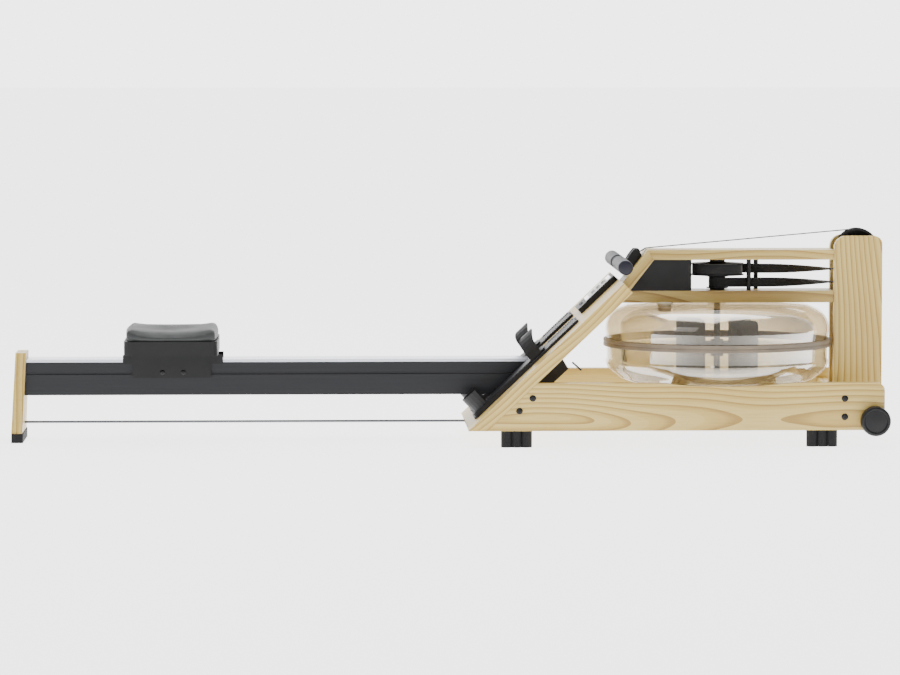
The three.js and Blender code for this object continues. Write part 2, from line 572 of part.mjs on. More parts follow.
function straps() {
  const upright = [0, 0, 1];
  const flat = [0, 1, 0];
  // Where a strap on a spool of radius r, leaving at an angle off the rail's direction, touches the spool.
  const leave = (r, sign, angle) => [tankX + (r + strapOff) * Math.sin(angle),
    sign * (r + strapOff) * Math.cos(angle)];
  const wrap = (z, r, from, to, steps) => Array.from({ length: steps + 1 }, (_, i) => {
    const out = (r + strapOff) / Math.cos((to - from) / steps / 2);
    const [x, h] = around(pulleyX, z, out, from + (to - from) * i / steps);
    return [[x, 0, h], flat];
  });
  // Straight run that turns from upright to flat before it comes to a pulley.
  const flatX = pulleyX - PULLEY_RIM - 4;
  const twist = ([x0, y0], z, steps) => Array.from({ length: steps + 1 }, (_, i) => {
    const t = i / steps;
    const turn = t * Math.PI / 2;
    return [[x0 + (flatX - x0) * t, y0 * (1 - t), z], [0, Math.sin(turn), Math.cos(turn)]];
  });
  const pinX = tankX + 102;
  const driveY = 27.5;
  const driveLeave = leave(DRUM_R, 1, THREE.MathUtils.degToRad(23.5));
  const rest = [neckTop[0] - 1.5, topTop + 3];
  const [dx, dz] = [rest[0] - pulleyX, rest[1] - PULLEY_Z];
  const topAngle = Math.atan2(dz, dx) - Math.acos((PULLEY_R + strapOff) / Math.hypot(dx, dz));
  add(machine, 'drive_strap', ribbon([
    [[...driveLeave, driveZ], upright],
    [[pinX - 12, driveY + 3, driveZ], upright],
    ...twist([pinX + 6, driveY - 2], driveZ, 8),
    ...wrap(PULLEY_Z, PULLEY_R, -Math.PI / 2, topAngle, 14),
    [[rest[0], 0, rest[1]], flat],
  ], STRAP_W, STRAP_T), 'web');

  const [hx, hz] = handle;
  const aim = Math.atan2(rest[1] - hz, rest[0] - hx);
  const tied = around(hx, hz, BAR_HUB_R + GAP, aim);
  const start = around(rest[0], rest[1], STRAP_T, aim + Math.PI);
  const steps = 6;
  const pull = Array.from({ length: steps + 1 }, (_, i) => {
    const t = i / steps;
    return [[start[0] + (tied[0] - start[0]) * t, 0, start[1] + (tied[1] - start[1]) * t], flat];
  });
  add(machine, 'handle_strap', ribbon(pull, STRAP_W, STRAP_T), 'web');

  const recoilLeave = leave(SMALL_R, -1, THREE.MathUtils.degToRad(-3.5));
  const front = pulleyX + RECOIL_R + strapOff;
  const knot = recoilPulleyZ - 40;
  add(machine, 'recoil_strap', ribbon([
    [[...recoilLeave, recoilZ], upright],
    ...twist([pinX, recoilLeave[1] * (flatX - pinX) / (flatX - recoilLeave[0])], recoilZ, 8),
    ...wrap(recoilPulleyZ, RECOIL_R, Math.PI / 2, 0, 8),
    [[front, 0, knot], flat],
  ], STRAP_W, STRAP_T), 'web');

  const pins = [['rear', pinX - 27, recoilLeave[1] - GUIDE_R - 2], ['front', pinX - 3, driveY + GUIDE_R + 3]];
  for (const [place, x, y] of pins) {
    add(machine, `${place}_guide_pin`, rodZ(GUIDE_R, x, y, midTop + GAP, topBottom - GAP), 'plastic');
  }

  const bend = 22;
  const route = new THREE.CurvePath();
  const v = (x, z) => new THREE.Vector3(x, 0, z);
  const end = slopeX(BUNGEE_Z, -BOARD_T - GAP - BATTEN_T) + BUNGEE_R + 2;
  route.add(new THREE.LineCurve3(v(front, knot - GAP), v(front, BUNGEE_Z + bend)));
  route.add(new THREE.QuadraticBezierCurve3(v(front, BUNGEE_Z + bend), v(front, BUNGEE_Z), v(front - bend, BUNGEE_Z)));
  route.add(new THREE.LineCurve3(v(front - bend, BUNGEE_Z), v(end, BUNGEE_Z)));
  const section = new THREE.Shape().absarc(0, 0, BUNGEE_R, 0, 2 * Math.PI);
  const tube = new THREE.ExtrudeGeometry(section, { steps: 36, extrudePath: route, curveSegments: 4 });
  add(machine, 'bungee', tube, 'web');
}

// ---- Monorail, leg, tie rod -----------------------------------------------------------------------------------
// Moves the end points of a rail piece onto the leg's front face and the footboard's top surface.
function mitre(geometry) {
  const p = geometry.attributes.position;
  for (let i = 0; i < p.count; i += 1) {
    const z = p.getZ(i);
    p.setX(i, p.getX(i) < 0 ? legFront(z) + GAP : slopeX(z, GAP));
  }
  return geometry;
}

function monorail() {
  const half = RAIL_W / 2;
  const groove = half - GROOVE_DEPTH;
  const side = [[half, RAIL_Z0], [half, GROOVE_Z0], [groove, GROOVE_Z0], [groove, GROOVE_Z1], [half, GROOVE_Z1],
    [half, railTop]];
  const shape = outline([...side, ...side.map(([y, z]) => [-y, z]).reverse()]);
  const room = groove - RAIL_WALL;
  shape.holes.push(new THREE.Path([[-room, RAIL_Z0 + RAIL_WALL], [-room, railTop - RAIL_WALL],
    [room, railTop - RAIL_WALL], [room, RAIL_Z0 + RAIL_WALL]].map(([y, z]) => new THREE.Vector2(y, z))));
  add(machine, 'monorail', mitre(endPlate(shape, -1, 1)), 'anodised');
  const [y, z] = [TRACK_W / 2, railTop + GAP];
  add(machine, 'rail_track', mitre(box(-1, 1, -y, y, z, z + TRACK_T)), 'track');

  const back = -BOARD_T - GAP;
  const battenEnd = upSlope(baseTop, -BOARD_T) - 95 + BATTEN_L;
  const bracket = outline([[battenEnd + 1, back], [battenEnd + 1, back - 45], [battenEnd + 92, back - 45],
    [battenEnd + 98, back - 17], [battenEnd + 98, back]]);
  add(slope, 'rail_end_bracket', sidePlate(bracket, -half, half), 'plastic');
}

function leg() {
  const bottom = LEG_CAP_H + GAP;
  const shape = outline([[legFront(bottom) - LEG_T, bottom], [legFront(bottom), bottom],
    [legFront(LEG_TOP), LEG_TOP], [legFront(LEG_TOP) - LEG_T, LEG_TOP]]);
  const board = sidePlate(shape, -0.5, 0.5);
  const p = board.attributes.position;
  for (let i = 0; i < p.count; i += 1) {
    const t = (p.getZ(i) - bottom) / (LEG_TOP - bottom);
    p.setY(i, p.getY(i) * (LEG_W_FOOT + (LEG_W_TOP - LEG_W_FOOT) * t));
  }
  add(machine, 'rear_leg', board, 'ash');
  const half = LEG_W_FOOT / 2 + 2;
  add(machine, 'leg_foot', box(-postFront, -postFront + LEG_T + 2, -half, half, 0, LEG_CAP_H), 'rubber');
  const [x0, x1] = [legFront(TIE_Z) + GAP + 0.3, slopeX(TIE_Z - TIE_R, GAP)];
  add(machine, 'tie_rod', rodX(TIE_R, x0, x1, 0, TIE_Z, 12), 'steel');
}

// ---- Seat -----------------------------------------------------------------------------------------------------
function seat() {
  const [x0, x1] = [SEAT_X - SEAT_L / 2, SEAT_X + SEAT_L / 2];
  const half = SEAT_W / 2;
  const pad = new THREE.Shape();
  pad.moveTo(x0 + 4, PAD_Z0);
  pad.lineTo(x1 - 4, PAD_Z0);
  pad.quadraticCurveTo(x1, PAD_TOP - 12, x1 - 10, PAD_TOP - 4);
  pad.quadraticCurveTo(x1 - 25, PAD_TOP, x1 - 50, PAD_TOP - 3);
  pad.quadraticCurveTo(SEAT_X, PAD_TOP - PAD_DIP - 3, x0 + 50, PAD_TOP - 2);
  pad.quadraticCurveTo(x0 + 20, PAD_TOP + 1, x0 + 6, PAD_TOP - 8);
  add(machine, 'seat_pad', sidePlate(pad, -half, half), 'pad');

  const axleZ = trackTop + GAP + ROLLER_R;
  const top = axleZ + ROLLER_R + 5.4;
  const inset = SHELL_INSET;
  const outer = planPlate(roundedBox(x0 + inset, x1 - inset, -half + inset, half - inset, 24), SHELL_Z0, PAD_Z0 - GAP);
  const wall = inset + SHELL_WALL;
  const inner = planPlate(roundedBox(x0 + wall, x1 - wall, -half + wall, half - wall, 19), SHELL_Z0 - 5, top + GAP);
  add(machine, 'seat_shell', cut(outer, inner), 'shell');

  const [in0, in1] = [x0 + wall + 1, x1 - wall - 1];
  const skirt = SKIRT_L / 2;
  const shape = outline([[x0, TAB_Z0], [SEAT_X - skirt, TAB_Z0], [SEAT_X - skirt, SKIRT_Z0],
    [SEAT_X + skirt, SKIRT_Z0], [SEAT_X + skirt, TAB_Z0], [x1 + 6, TAB_Z0], [x1 + 6, SHELL_Z0 - 3],
    [in1, SHELL_Z0 - 3], [in1, top], [in0, top], [in0, SHELL_Z0 - 3], [x0, SHELL_Z0 - 3]]);
  for (const sign of [-1, 1]) {
    const x = SEAT_X + sign * ROLLER_SPAN / 2;
    shape.holes.push(new THREE.Path().absarc(x, axleZ, ROLLER_AXLE_R + GAP, 0, 2 * Math.PI, true));
  }
  const w = CARRIAGE_W / 2;
  const plates = SIDES.map(([, sign]) => sidePlate(shape, ...span(sign, w - CARRIAGE_T, w)));
  const lid = box(in0, in1, -w, w, top - 4, top);
  add(machine, 'seat_carriage', join(lid, ...plates), 'shell');

  const roller = [];
  const inside = w - CARRIAGE_T - 8;
  for (const [r, y] of [[0, -w + 1], [ROLLER_AXLE_R, -w + 1], [ROLLER_AXLE_R, -inside], [ROLLER_R, -inside],
    [ROLLER_R, -inside + ROLLER_W], [ROLLER_AXLE_R, -inside + ROLLER_W]]) {
    roller.push([r, y]);
  }
  const whole = [...roller, ...roller.map(([r, y]) => [r, -y]).reverse()];
  for (const [place, sign] of [['rear', -1], ['front', 1]]) {
    const pair = revolve(whole, 16).translate(SEAT_X + sign * ROLLER_SPAN / 2, 0, axleZ);
    add(machine, `${place}_roller_pair`, pair, 'rubber');
  }
}

// ---- Handle and its rest --------------------------------------------------------------------------------------
const handle = [slopeX(boardEndZ, 0) + HANDLE_ON, boardEndZ + HANDLE_UP];

function handlePieces() {
  const [hx, hz] = handle;
  const half = HANDLE_L / 2;
  const inner = half - 10 - GRIP_L;
  const end = [[0, half], [GRIP_R - 3, half], [GRIP_R, half - 3], [GRIP_R, half - 10 + GAP], [BAR_R, half - 10 + GAP],
    [BAR_R, inner], [BAR_HUB_R, inner - 2]];
  const bar = revolve([...end, ...end.map(([r, y]) => [r, -y]).reverse()], 20);
  add(machine, 'handle_bar', bar.translate(hx, 0, hz), 'navy');
  for (const [side, sign] of SIDES) {
    const [y0, y1] = span(sign, inner + GAP, half - 10);
    const grip = revolve(closed([[BAR_R + GAP, y0], [GRIP_R - 1, y0], [GRIP_R, y0 + 2], [GRIP_R, y1],
      [BAR_R + GAP, y1]]), 20);
    add(machine, `${side}_grip`, grip.translate(hx, 0, hz), 'grey');
  }
  const seatR = BAR_HUB_R + 1;
  const shape = new THREE.Shape();
  shape.absarc(hx, hz, seatR, -1.3, 0.3, false);
  shape.lineTo(hx + 24, hz + 20);
  shape.lineTo(hx + 36, hz + 35);
  shape.lineTo(hx + 48, hz + 35);
  const on = (z) => meet([neckFace[0] - 0.5, neckFace[1]], neckDir, [0, z], [1, 0]);
  shape.lineTo(...on(hz + 18));
  shape.lineTo(...on(hz - 22));
  shape.lineTo(hx + 7, hz - 22);
  const channel = outline([[hx - 5, hz - 6], [hx + 80, hz + 39], [hx + 80, hz + 90], [hx - 5, hz + 90]]);
  const lane = STRAP_W / 2 + 2;
  const rest = cut(sidePlate(shape, -REST_W / 2, REST_W / 2), sidePlate(channel, -lane, lane));
  add(machine, 'handle_rest', rest, 'plastic');
}

// ---- Monitor --------------------------------------------------------------------------------------------------
function monitor() {
  const x1 = boardEnd - 2;
  const x0 = x1 - MONITOR_L;
  const shape = roundedBox(x0, x1, -MONITOR_W / 2, MONITOR_W / 2, 8);
  const bx = x0 + 16;
  const ys = [-0.5, 0.5].map((k) => k * BUTTON_PITCH);
  for (const y of ys) {
    shape.holes.push(new THREE.Path().absarc(bx, y, BUTTON_R + RUN, 0, 2 * Math.PI, true));
  }
  add(slope, 'monitor_case', planPlate(shape, GAP, GAP + MONITOR_T), 'plastic');
  ys.forEach((y, i) => {
    add(slope, `monitor_button_${i + 1}`, rodZ(BUTTON_R, bx, y, 6, GAP + MONITOR_T + 2, 16), 'grey');
  });
}

// ---- Foot stretchers ------------------------------------------------------------------------------------------
function stretchers() {
  const [x0, x1] = [PLATE_UP, PLATE_UP + PLATE_L];
  const edge = (PLATE_W - HEEL_W) / 2 - 1;
  for (const [side, sign] of SIDES) {
    const y = sign * PLATE_Y;
    const half = PLATE_W / 2;
    const plate = planPlate(roundedBox(x0, x1, y - half, y + half, 10), GAP, GAP + PLATE_T);
    const rims = [-1, 1].map((k) => {
      const outer = y + k * half;
      const [r0, r1] = k < 0 ? [outer, outer + 3] : [outer - 3, outer];
      return box(x0 + 12, WEB_UP - 26, r0, r1, PLATE_T, PLATE_T + 5);
    });
    add(slope, `${side}_foot_plate`, join(plate, ...rims), 'stretcher');

    const z0 = GAP + PLATE_T + GAP;
    const z1 = z0 + HEEL_T;
    const w = HEEL_W / 2;
    const sole = planPlate(roundedBox(x0 + 4, x0 + 4 + HEEL_L, y - w, y + w, 12), z0, z1);
    const cup = new THREE.Shape();
    const [cx, r] = [x0 + 8 + w, w];
    cup.absarc(cx, y, r, 0.5 * Math.PI, 1.5 * Math.PI);
    cup.absarc(cx, y, r - CUP_T, 1.5 * Math.PI, 0.5 * Math.PI, true);
    add(slope, `${side}_heel_slide`, join(sole, planPlate(cup, z1 - 1, z0 + CUP_H)), 'stretcher');

    const foot = half - 4;
    const lift = GAP + PLATE_T + GAP + WEB_T;
    const arch = Array.from({ length: 15 }, (_, i) => {
      const a = Math.PI * i / 14;
      const lean = 0.35 * STRAP_ARCH * Math.sin(a) ** 3;
      return [[WEB_UP + lean, y - foot * Math.cos(a), lift + (STRAP_ARCH - WEB_T) * Math.sin(a) ** 0.7], [1, 0, 0]];
    });
    add(slope, `${side}_foot_strap`, ribbon(arch, WEB_W, WEB_T), 'web');
  }
}

baseRails();
crossMembers();
feet();
wheels();
posts();
frameTop();
tank();
paddle();
drum();
straps();
monorail();
leg();
seat();
handlePieces();
monitor();
stretchers();

export default machine;
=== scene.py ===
"""Rowing machine with a water tank: finishes, soft parts and small fittings, built round the CAD frame.
Metres, +Z up, +X to the tank. The rower sits towards -X and faces +X, so the rower's right side is -Y."""

import math

import bmesh
import bpy
from mathutils import Matrix, Vector


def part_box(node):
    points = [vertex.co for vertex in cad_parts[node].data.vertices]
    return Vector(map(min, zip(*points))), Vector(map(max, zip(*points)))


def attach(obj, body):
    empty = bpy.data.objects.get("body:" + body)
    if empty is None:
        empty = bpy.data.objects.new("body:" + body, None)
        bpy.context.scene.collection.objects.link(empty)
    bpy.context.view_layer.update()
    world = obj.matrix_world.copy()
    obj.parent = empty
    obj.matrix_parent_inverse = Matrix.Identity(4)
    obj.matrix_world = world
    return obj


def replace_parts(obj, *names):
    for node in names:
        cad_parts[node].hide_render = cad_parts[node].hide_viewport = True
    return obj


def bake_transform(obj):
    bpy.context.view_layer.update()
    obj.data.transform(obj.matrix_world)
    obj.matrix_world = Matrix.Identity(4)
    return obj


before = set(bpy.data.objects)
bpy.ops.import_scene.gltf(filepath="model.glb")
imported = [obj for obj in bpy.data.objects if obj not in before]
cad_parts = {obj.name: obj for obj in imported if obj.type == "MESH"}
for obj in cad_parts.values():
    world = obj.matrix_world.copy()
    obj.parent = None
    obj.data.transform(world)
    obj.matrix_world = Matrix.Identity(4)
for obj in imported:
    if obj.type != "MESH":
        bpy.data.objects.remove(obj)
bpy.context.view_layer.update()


# ---- Studio ----------------------------------------------------------------------------------------------
# A long lens stands level with the rower's right side, a little above the rail. The machine stands on a white
# light table with a lit white wall behind it, and soft lamps overhead and in front shape it.
def srgb(code, times=1.0):
    """Linear colour of an sRGB hex code, made darker or lighter."""
    channels = [(code >> shift & 255) / 255 for shift in (16, 8, 0)]
    linear = [c / 12.92 if c < 0.04045 else ((c + 0.055) / 1.055) ** 2.4 for c in channels]
    return (*[min(value * times, 1) for value in linear], 1)


def add(tree, kind, inputs=(), stops=(), **settings):
    """One shader node. inputs gives sockets a value or a link, and stops gives a colour ramp its colours."""
    node = tree.nodes.new(kind)
    for key, value in settings.items():
        setattr(node, key, value)
    for key, value in dict(inputs).items():
        if isinstance(value, bpy.types.NodeSocket):
            tree.links.new(value, node.inputs[key])
        else:
            node.inputs[key].default_value = value
    for number, (place, color) in enumerate(stops):
        if number > 1:
            node.color_ramp.elements.new(place)
        node.color_ramp.elements[number].position = place
        node.color_ramp.elements[number].color = color
    return node


def finish(name, **constants):
    """A new material with one Principled shader. Gives the material, its tree and the shader."""
    made = bpy.data.materials.new(name)
    made.use_nodes = True
    made.node_tree.nodes.clear()
    sockets = {key.replace("_", " "): value for key, value in constants.items()}
    shader = add(made.node_tree, "ShaderNodeBsdfPrincipled", sockets)
    add(made.node_tree, "ShaderNodeOutputMaterial", {"Surface": shader.outputs[0]})
    return made, made.node_tree, shader


AIM = Vector((0.0065, 0, 0.249))


def put_in_scene(name, data, place=(0, 0, 0), look_at=None):
    made = bpy.data.objects.new(name, data)
    made.location = place
    if look_at is not None:
        made.rotation_euler = (look_at - made.location).to_track_quat("-Z", "Y").to_euler()
    bpy.context.scene.collection.objects.link(made)
    return made


lens = bpy.data.cameras.new("camera")
lens.lens = 177.7
lens.sensor_width = 36
lens.clip_end = 200
bpy.context.scene.camera = put_in_scene("camera", lens, (-0.361, -10.9, 1.02), AIM)

floor_mesh = bpy.data.meshes.new("floor")
sheet = bmesh.new()
bmesh.ops.create_grid(sheet, x_segments=1, y_segments=1, size=60)
sheet.to_mesh(floor_mesh)
sheet.free()
floor_mesh.materials.append(finish("glowing_white_table", Base_Color=(0.3, 0.3, 0.3, 1), Roughness=0.9,
                                   Emission_Color=(1, 1, 1, 1), Emission_Strength=3.2)[0])
put_in_scene("floor", floor_mesh)

world = bpy.data.worlds.new("studio")
world.use_nodes = True
toward = add(world.node_tree, "ShaderNodeTexCoord").outputs["Generated"]
depth = add(world.node_tree, "ShaderNodeSeparateXYZ", {0: toward}).outputs["Y"]
lit = add(world.node_tree, "ShaderNodeMapRange", {0: depth, 1: 0.3, 2: 0.95, 3: 0.3, 4: 4.0}).outputs[0]
world.node_tree.links.new(lit, world.node_tree.nodes["Background"].inputs["Strength"])
world.node_tree.nodes["Background"].inputs["Color"].default_value = (1, 1, 1, 1)
bpy.context.scene.world = world
for lamp, place, size, power in (("overhead", (0.2, 0.2, 3.4), 3.4, 150),
                                 ("front", (-2.4, -3.8, 2.2), 2.2, 20)):
    light = bpy.data.lights.new(lamp, "AREA")
    light.size = size
    light.energy = power
    put_in_scene(lamp, light, place, AIM)


# ---- Ash frame -------------------------------------------------------------------------------------------
# Solid ash boards, planed, with eased edges and clear oil. Flat-sawn boards show wide arched rings with darker
# late wood, and open pores as fine dashes along the grain.
def ash(name, turn=(0, 0, 0), heart=(0, 0.205, -0.1), painted_shade=1.0):
    """Heart is the way from the tree's middle to the board, and turn brings the board's length onto X. The last
    factor darkens the whole board as painted shade, for a board that lies in shadow.
    """
    made, tree, shader = finish(name, Roughness=0.45, Coat_Weight=0.15, Coat_Roughness=0.3)
    coords = add(tree, "ShaderNodeTexCoord").outputs["Object"]
    board = add(tree, "ShaderNodeMapping", {0: coords, 2: turn}).outputs[0]
    # The board was sawn a few degrees off the tree's axis, which draws the rings out into arches.
    lean = (0, math.radians(0.6), math.radians(3.2))
    tree_axis = add(tree, "ShaderNodeMapping", {0: board, 1: heart, 2: lean})
    slow = add(tree, "ShaderNodeMapping", {0: board, 3: (1.5, 3.0, 3.0)}).outputs[0]
    drift = add(tree, "ShaderNodeTexNoise", {"Vector": slow, "Scale": 1.2, "Detail": 1.0}).outputs["Color"]
    bend = add(tree, "ShaderNodeVectorMath", {0: drift, 1: (0.0, 0.09, 0.09)}, operation="MULTIPLY").outputs[0]
    grown = add(tree, "ShaderNodeVectorMath", {0: tree_axis.outputs[0], 1: bend}, operation="ADD").outputs[0]
    # Rings some 7 mm apart.
    rings = add(tree, "ShaderNodeTexWave", {"Vector": grown, "Scale": 24.0, "Distortion": 0.4, "Detail": 1.0,
                                            "Detail Scale": 0.4}, wave_type="RINGS", rings_direction="X",
                wave_profile="SAW").outputs["Fac"]
    wood = add(tree, "ShaderNodeValToRGB", {0: rings}, [
        (0.0, srgb(0xd2ba6f)), (1.0, srgb(0xceb466)), (0.45, srgb(0xcbb163)), (0.75, srgb(0xc2a455)),
        (0.93, srgb(0xa5853f))]).outputs[0]
    # Pores 0.2 mm wide and some 10 mm long, drawn 1.5 mm wide so that they show.
    fibre = add(tree, "ShaderNodeMapping", {0: board, 3: (10, 640, 640)}).outputs[0]
    pores = add(tree, "ShaderNodeTexNoise", {"Vector": fibre, "Scale": 1.0, "Detail": 2.0}).outputs["Fac"]
    dashes = add(tree, "ShaderNodeValToRGB", {0: pores}, [
        (0.36, (0.78, 0.72, 0.62, 1)), (0.52, (1, 1, 1, 1))]).outputs[0]
    wide = add(tree, "ShaderNodeMapping", {0: board, 3: (1.8, 9, 9)}).outputs[0]
    cloud = add(tree, "ShaderNodeTexNoise", {"Vector": wide, "Scale": 1.0, "Detail": 2.0}).outputs["Fac"]
    # The tone's colours are scaled by the last factor, which is painted shade for a board in shadow.
    tone = add(tree, "ShaderNodeValToRGB", {0: cloud}, [
        (0.3, (0.90 * painted_shade, 0.85 * painted_shade, 0.74 * painted_shade, 1)), (0.7, (painted_shade, painted_shade, painted_shade, 1))]).outputs[0]
    pored = add(tree, "ShaderNodeMix", {0: 0.5, 6: wood, 7: dashes}, data_type="RGBA", blend_type="MULTIPLY")
    toned = add(tree, "ShaderNodeMix", {0: 1.0, 6: pored.outputs[2], 7: tone}, data_type="RGBA",
                blend_type="MULTIPLY")
    tree.links.new(toned.outputs[2], shader.inputs["Base Color"])
    relief = add(tree, "ShaderNodeBump", {"Height": pores, "Distance": 0.0003, "Strength": 0.5}).outputs[0]
    tree.links.new(relief, shader.inputs["Normal"])
    return made


def dress(look, edge, *names):
    """Gives CAD nodes a finish and eased edges, and leaves their shape alone."""
    for name in names:
        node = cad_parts[name]
        node.data.materials.clear()
        node.data.materials.append(look)
        ease = node.modifiers.new("eased_edges", "BEVEL")
        ease.width = edge
        ease.segments = 3
        ease.limit_method = "ANGLE"
        ease.angle_limit = math.radians(35)


SLOPE = math.radians(43.6)
ash_along = ash("oiled_ash_along")
ash_across = ash("oiled_ash_across", (0, 0, math.radians(90)), (0, 0.05, -0.2))
ash_upright = ash("oiled_ash_upright", (0, math.radians(90), 0), (0, -0.03, 1.05))
ash_sloped = ash("oiled_ash_sloped", (0, SLOPE, 0), (0, 0.17, -0.1))
# The mid deck lies under the top deck, so its ash is painted 15 % darker: painted shade, not a darker wood.
ash_in_painted_shade = ash("oiled_ash_mid_deck_painted_shade", (0, 0, 0), (0, 0.11, -0.32), 0.85)
dress(ash_along, 0.003, "right_base_rail", "left_base_rail", "top_deck")
dress(ash_across, 0.002, "board_batten", "front_cross_block", "rear_tank_bearer", "front_tank_bearer")
dress(ash_upright, 0.0035, "right_post", "left_post", "rear_leg")
dress(ash_sloped, 0.0025, "footboard", "neck")
dress(ash_in_painted_shade, 0.0025, "mid_deck")


# ---- Monorail, track, tie rod ----------------------------------------------------------------------------
# The rail is one aluminium extrusion, black anodised, with long die lines. The seat runs on a bright strip let
# into its top, and a thin steel rod under it ties the leg to the footboard.
def drawn_metal(name, code, rough, metallic):
    """Hairlines run along X, 1.5 mm apart so that they show, where the real ones are finer."""
    made, tree, shader = finish(name, Metallic=metallic, Base_Color=srgb(code))
    coords = add(tree, "ShaderNodeTexCoord").outputs["Object"]
    along = add(tree, "ShaderNodeMapping", {0: coords, 3: (5, 650, 650)}).outputs[0]
    lines = add(tree, "ShaderNodeTexNoise", {"Vector": along, "Scale": 1.0, "Detail": 3.0}).outputs["Fac"]
    uneven = add(tree, "ShaderNodeValToRGB", {0: lines}, [
        (0.25, (rough - 0.08,) * 3 + (1,)), (0.75, (rough + 0.1,) * 3 + (1,))]).outputs[0]
    tree.links.new(uneven, shader.inputs["Roughness"])
    relief = add(tree, "ShaderNodeBump", {"Height": lines, "Distance": 0.00004, "Strength": 0.4}).outputs[0]
    tree.links.new(relief, shader.inputs["Normal"])
    return made


anodised = drawn_metal("black_anodised_aluminium", 0x1b1c1f, 0.36, 0.5)
steel = drawn_metal("drawn_steel", 0x6f7175, 0.34, 1.0)
dress(anodised, 0.0010, "monorail")
dress(drawn_metal("bright_aluminium", 0xc9cbd4, 0.3, 0.9), 0.0008, "rail_track")
dress(steel, 0.0004, "tie_rod", "wheel_axle", "top_pulley_axle", "recoil_pulley_axle")


# ---- Moulded plastic and rubber pieces -------------------------------------------------------------------
# Feet, rollers and the leg's cap are black rubber. The cover, pins, handle rest, bracket and monitor case are
# black ABS with a fine spark-eroded grain that breaks up the shine, and the tank's plug is beige ABS.
def moulded(name, code, rough, grit=0.0012, depth=0.0001, spread=0.22, sheen=0.0):
    """Grit is the width of a grain in metres."""
    made, tree, shader = finish(name, Sheen_Weight=sheen, Sheen_Roughness=0.5, Specular_IOR_Level=0.3)
    coords = add(tree, "ShaderNodeTexCoord").outputs["Object"]
    grain = add(tree, "ShaderNodeTexNoise", {"Vector": coords, "Scale": 1 / grit, "Detail": 3.0}).outputs["Fac"]
    patch = add(tree, "ShaderNodeTexNoise", {"Vector": coords, "Scale": 24.0, "Detail": 4.0}).outputs["Fac"]
    tone = add(tree, "ShaderNodeMix", {0: 0.45, 2: grain, 3: patch}, data_type="FLOAT").outputs[0]
    color = add(tree, "ShaderNodeValToRGB", {0: tone}, [
        (0.35, srgb(code, 1 - spread)), (0.65, srgb(code, 1 + spread))]).outputs[0]
    tree.links.new(color, shader.inputs["Base Color"])
    worn = add(tree, "ShaderNodeValToRGB", {0: patch}, [
        (0.3, (rough - 0.07,) * 3 + (1,)), (0.7, (rough + 0.07,) * 3 + (1,))]).outputs[0]
    tree.links.new(worn, shader.inputs["Roughness"])
    relief = add(tree, "ShaderNodeBump", {"Height": grain, "Distance": depth, "Strength": 0.7}).outputs[0]
    tree.links.new(relief, shader.inputs["Normal"])
    return made


rubber = moulded("black_rubber", 0x151516, 0.75, 0.0016, 0.0002)
black_abs = moulded("black_abs", 0x0c0c0e, 0.5)
dress(rubber, 0.0015, "rear_right_foot", "rear_left_foot", "front_right_foot", "front_left_foot", "leg_foot",
      "rear_roller_pair", "front_roller_pair")
dress(black_abs, 0.0010, "strap_cover", "rail_end_bracket", "handle_rest", "rear_guide_pin", "front_guide_pin",
      "monitor_case")
dress(moulded("beige_plug_abs", 0xb5a990, 0.4), 0.0010, "tank_plug")


# ---- Bolts -----------------------------------------------------------------------------------------------
# Button-head socket bolts in black steel hold the cross members to the base rails, two at each end of each
# rail. They stand 4 mm out of the ash.
def keep(name, made, look, body, sharp=32):
    """Closes a bmesh into a named piece, smooth but for its sharp edges. A piece given no body is left
    unattached.
    """
    bmesh.ops.remove_doubles(made, verts=made.verts, dist=1e-6)
    bmesh.ops.recalc_face_normals(made, faces=made.faces)
    mesh = bpy.data.meshes.new(name)
    made.to_mesh(mesh)
    made.free()
    mesh.shade_smooth()
    mesh.set_sharp_from_angle(angle=math.radians(sharp))
    mesh.materials.append(look)
    piece = put_in_scene(name, mesh)
    if body:
        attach(piece, body)
    return piece


AXES = {"Y": Vector((0, 1, 0)), "Z": Vector((0, 0, 1))}
OUT = Vector((1, 0, 0))


def turn_on_lathe(made, profile, axis, centre, steps=96):
    """Spins a profile of (radius, height along the axis) points round an axis, and closes it if need be."""
    along, centre = AXES[axis], Vector(centre)
    line = [made.verts.new(centre + OUT * radius + along * height) for radius, height in profile]
    edges = [made.edges.new(pair) for pair in zip(line, line[1:])]
    if profile[0][0] > 1e-6 or profile[-1][0] > 1e-6:
        edges.append(made.edges.new((line[-1], line[0])))
    bmesh.ops.spin(made, geom=line + edges, cent=centre, axis=along, angle=2 * math.pi, steps=steps,
                   use_merge=True)
    return made


def bolt_head(made, x, z, face, side, radius=0.008):
    """A domed head with a socket, standing on a face at Y = face and pointing to side."""
    dome = [(0.0, 0.0012), (radius * 0.42, 0.0012), (radius * 0.42, radius * 0.48),
            (radius * 0.6, radius * 0.46), (radius * 0.85, radius * 0.3), (radius, radius * 0.1),
            (radius, 0.0), (0.0, 0.0)]
    turn_on_lathe(made, [(r, side * h) for r, h in dome], "Y", (x, face, z), 32)


def middle(node):
    low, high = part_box(node)
    return (Vector(low) + Vector(high)) / 2


bolt_black = moulded("blackened_steel", 0x141414, 0.4, 0.0008, 0.00003)
batten = middle("board_batten")
block = middle("front_cross_block")
reach = 0.0222  # from the middle of a cross member to each of its bolts
for side_name, side in (("right", -1), ("left", 1)):
    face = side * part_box("left_base_rail")[1][1]
    heads = bmesh.new()
    for sign in (-1, 1):
        bolt_head(heads, batten.x + sign * reach * math.cos(SLOPE), batten.z + sign * reach * math.sin(SLOPE),
                  face, side)
        bolt_head(heads, block.x + 0.001, block.z + 0.002 + sign * reach, face, side)
    keep(f"{side_name}_rail_bolts", heads, bolt_black, "frame")


